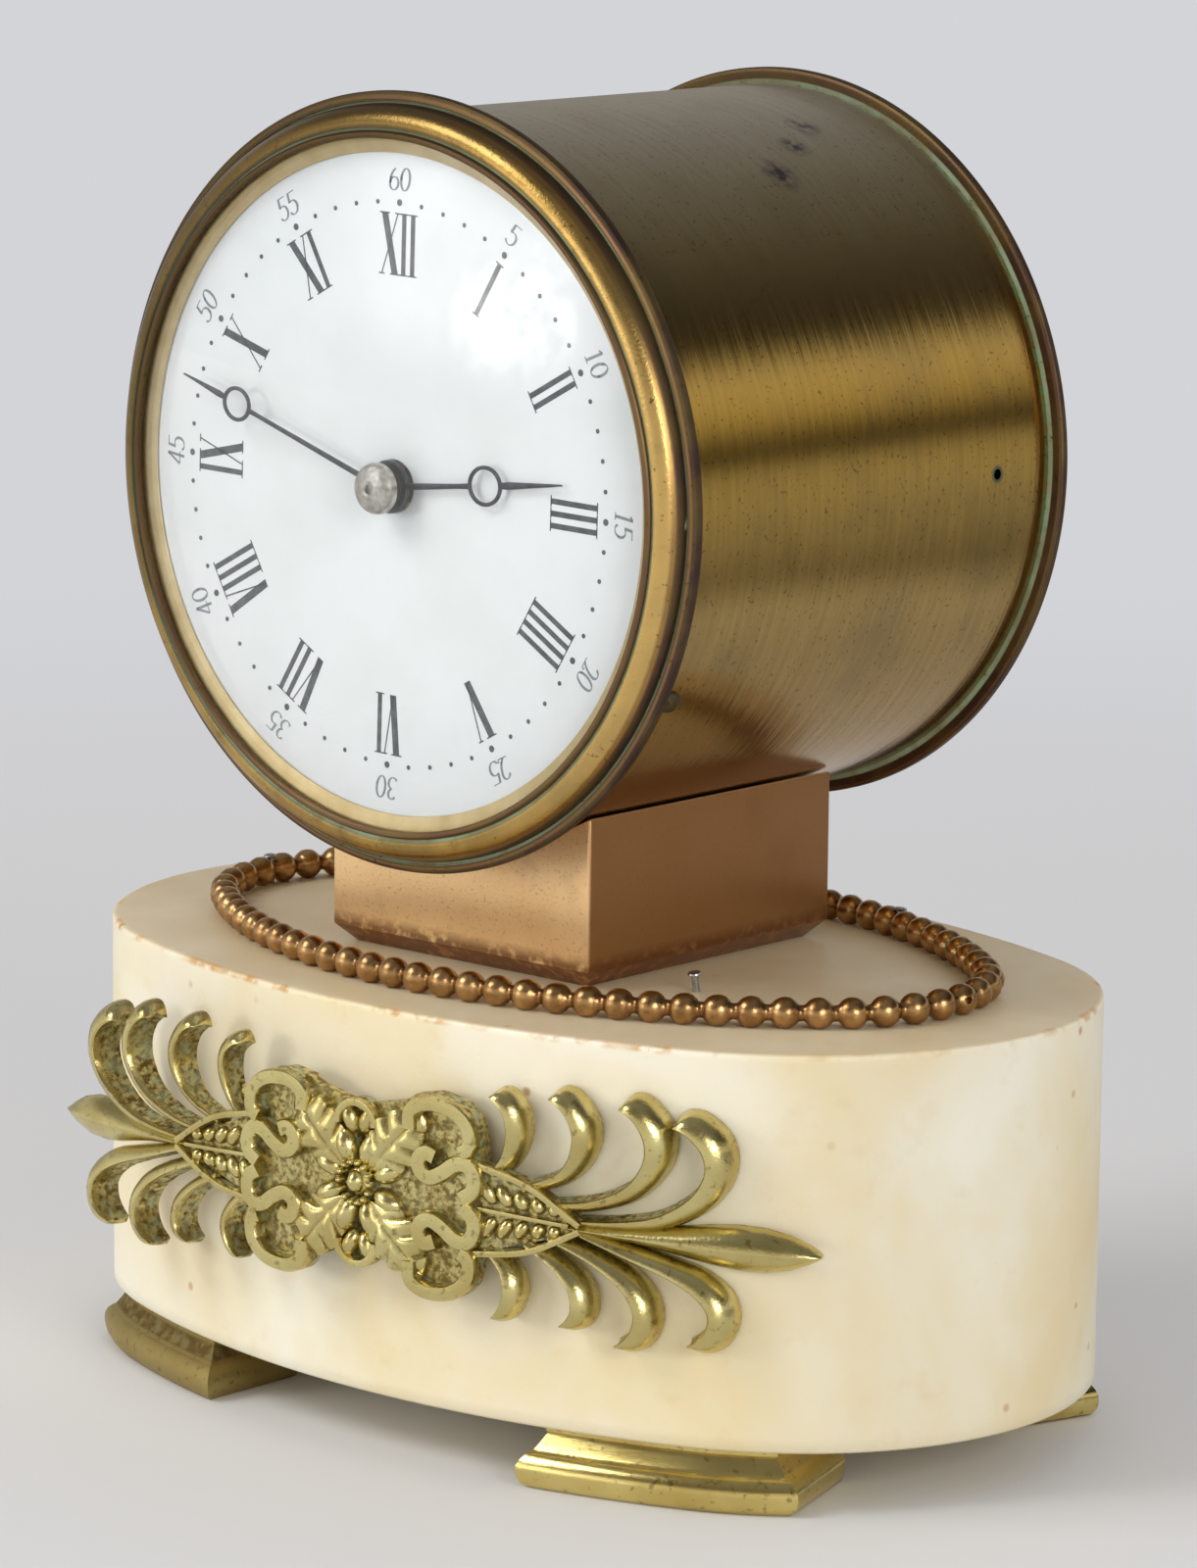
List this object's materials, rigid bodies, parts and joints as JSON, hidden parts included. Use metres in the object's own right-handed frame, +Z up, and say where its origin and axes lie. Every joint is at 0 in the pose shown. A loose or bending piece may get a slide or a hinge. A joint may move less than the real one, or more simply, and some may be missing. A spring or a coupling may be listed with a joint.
{
  "type": "table clock",
  "caption": "Drum-shaped table clock on a copper block and an oval stone base, with hinged glass front, rear door, hands, movement, bead ring, pierced mount and brass feet.",
  "frame": {"origin": "middle of the clock's overall box in plan, on the table that the feet stand on", "axes": "+Z up, -Y the way the dial faces, +X to the right as the dial is read"},
  "size_m": [0.1482, 0.1003, 0.173],
  "materials": {
    "alabaster": "polished cream alabaster with rust stains",
    "gilt_brass": "gilt cast brass, worn",
    "drum_brass": "brushed brass with olive patina",
    "rose_copper": "satin rose copper",
    "bead_copper": "dark red copper",
    "movement_brass": "clean lacquered brass",
    "steel": "ground steel",
    "blued_steel": "blued steel",
    "nickel": "nickel plate",
    "enamel": "white enamel with dark painted figures",
    "clear_glass": "clear domed glass",
    "saddle_wood": "plain beech"
  },
  "bodies": {
    "clock": {"stone_base": "alabaster", "foot_front_left": "gilt_brass", "foot_front_right": "gilt_brass", "foot_rear_left": "gilt_brass", "foot_rear_right": "gilt_brass", "foot_screws": "steel", "bead_ring": "bead_copper", "bead_ring_nails": "steel", "front_mount": "gilt_brass", "plinth_block": "rose_copper", "saddle_block": "saddle_wood", "tie_bolt": "steel", "tie_washer": "movement_brass", "tie_nut": "steel", "drum_case": "drum_brass", "case_screws": "steel", "hinge_leaves": "drum_brass", "hinge_pins": "steel", "dial": "enamel", "dial_pins": "steel", "front_plate": "movement_brass", "back_plate": "movement_brass", "pillars": "movement_brass", "plate_screws": "blued_steel", "bridge_screws": "blued_steel", "click_spring": "steel", "escape_bridge": "movement_brass", "balance_cock": "movement_brass"},
    "front_door": {"front_bezel": "gilt_brass", "glass": "clear_glass", "sight_ring": "gilt_brass"},
    "back_door": {"rear_door": "drum_brass", "door_knob": "gilt_brass"},
    "minute_work": {"minute_hand": "blued_steel", "hand_nut": "nickel", "cannon_pinion": "steel", "setting_arbor": "steel", "setting_knob": "movement_brass"},
    "hour_work": {"hour_hand": "blued_steel", "hour_wheel": "movement_brass"},
    "minute_wheel_work": {"minute_wheel": "movement_brass"},
    "fourth": {"fourth_pinion": "steel", "fourth_wheel": "movement_brass"},
    "third": {"third_pinion": "steel", "third_wheel": "movement_brass"},
    "centre": {"centre_pinion": "steel", "centre_wheel": "movement_brass"},
    "escape": {"escape_pinion": "steel", "escape_wheel": "movement_brass"},
    "going_barrel": {"barrel": "movement_brass", "barrel_cover": "movement_brass", "mainspring": "blued_steel"},
    "winding": {"barrel_arbor": "steel", "ratchet_wheel": "steel"},
    "click_body": {"click": "steel"},
    "lever_body": {"lever": "steel"},
    "balance": {"balance_wheel": "movement_brass", "balance_staff": "steel", "hairspring": "blued_steel"},
    "regulator": {"regulator_index": "blued_steel"}
  },
  "joints": [
    {"name": "front_bezel_hinge", "type": "hinge", "parent": "clock", "child": "front_door", "pos_m": [-0.05335, -0.02745, 0.12303], "axis": [0, 0, -1], "range_deg": [0, 100]},
    {"name": "rear_door_hinge", "type": "hinge", "parent": "clock", "child": "back_door", "pos_m": [-0.05335, 0.04225, 0.12303], "axis": [0, 0, 1], "range_deg": [0, 100]},
    {"name": "minute_turn", "type": "hinge", "parent": "clock", "child": "minute_work", "pos_m": [-0.0049, 0.00855, 0.12303], "axis": [0, 1, 0], "continuous": true},
    {"name": "hour_turn", "type": "hinge", "parent": "clock", "child": "hour_work", "pos_m": [-0.0049, 0.00855, 0.12303], "axis": [0, 1, 0], "continuous": true},
    {"name": "minute_wheel_turn", "type": "hinge", "parent": "clock", "child": "minute_wheel_work", "pos_m": [-0.01529, 0.00855, 0.11703], "axis": [0, 1, 0], "continuous": true},
    {"name": "fourth_turn", "type": "hinge", "parent": "clock", "child": "fourth", "pos_m": [-0.01903, 0.00855, 0.13373], "axis": [0, 1, 0], "continuous": true},
    {"name": "third_turn", "type": "hinge", "parent": "clock", "child": "third", "pos_m": [-0.00753, 0.00855, 0.13792], "axis": [0, 1, 0], "continuous": true},
    {"name": "centre_turn", "type": "hinge", "parent": "clock", "child": "centre", "pos_m": [-0.0049, 0.00855, 0.12303], "axis": [0, 1, 0], "continuous": true},
    {"name": "escape_turn", "type": "hinge", "parent": "clock", "child": "escape", "pos_m": [-0.02241, 0.00855, 0.14303], "axis": [0, 1, 0], "continuous": true},
    {"name": "barrel_turn", "type": "hinge", "parent": "clock", "child": "going_barrel", "pos_m": [-0.0049, 0.00855, 0.10143], "axis": [0, 1, 0], "continuous": true},
    {"name": "winding_turn", "type": "hinge", "parent": "clock", "child": "winding", "pos_m": [-0.0049, 0.00855, 0.10143], "axis": [0, 1, 0], "continuous": true},
    {"name": "click_lift", "type": "hinge", "parent": "clock", "child": "click_body", "pos_m": [0.0077, 0.00855, 0.10343], "axis": [0, -1, 0], "range_deg": [0, 15], "stiffness_Nm_per_rad": 0.0005, "springref_deg": -11.46},
    {"name": "lever_rock", "type": "hinge", "parent": "clock", "child": "lever_body", "pos_m": [-0.01481, 0.00855, 0.14303], "axis": [0, 1, 0], "range_deg": [-5, 5]},
    {"name": "balance_swing", "type": "hinge", "parent": "clock", "child": "balance", "pos_m": [-0.00621, 0.00855, 0.14303], "axis": [0, 1, 0], "range_deg": [-135, 135], "stiffness_Nm_per_rad": 0.000014},
    {"name": "regulator_turn", "type": "hinge", "parent": "clock", "child": "regulator", "pos_m": [-0.00621, 0.00855, 0.14303], "axis": [0, 1, 0], "range_deg": [-20, 20]}
  ],
  "couplings": [
    {"joint": "hour_turn", "follows": "minute_turn", "ratio": 0.083333},
    {"joint": "minute_wheel_turn", "follows": "minute_turn", "ratio": -0.33333},
    {"joint": "escape_turn", "follows": "fourth_turn", "ratio": -10},
    {"joint": "third_turn", "follows": "fourth_turn", "ratio": -0.13333},
    {"joint": "centre_turn", "follows": "fourth_turn", "ratio": 0.016667},
    {"joint": "barrel_turn", "follows": "fourth_turn", "ratio": -0.0020833}
  ]
}
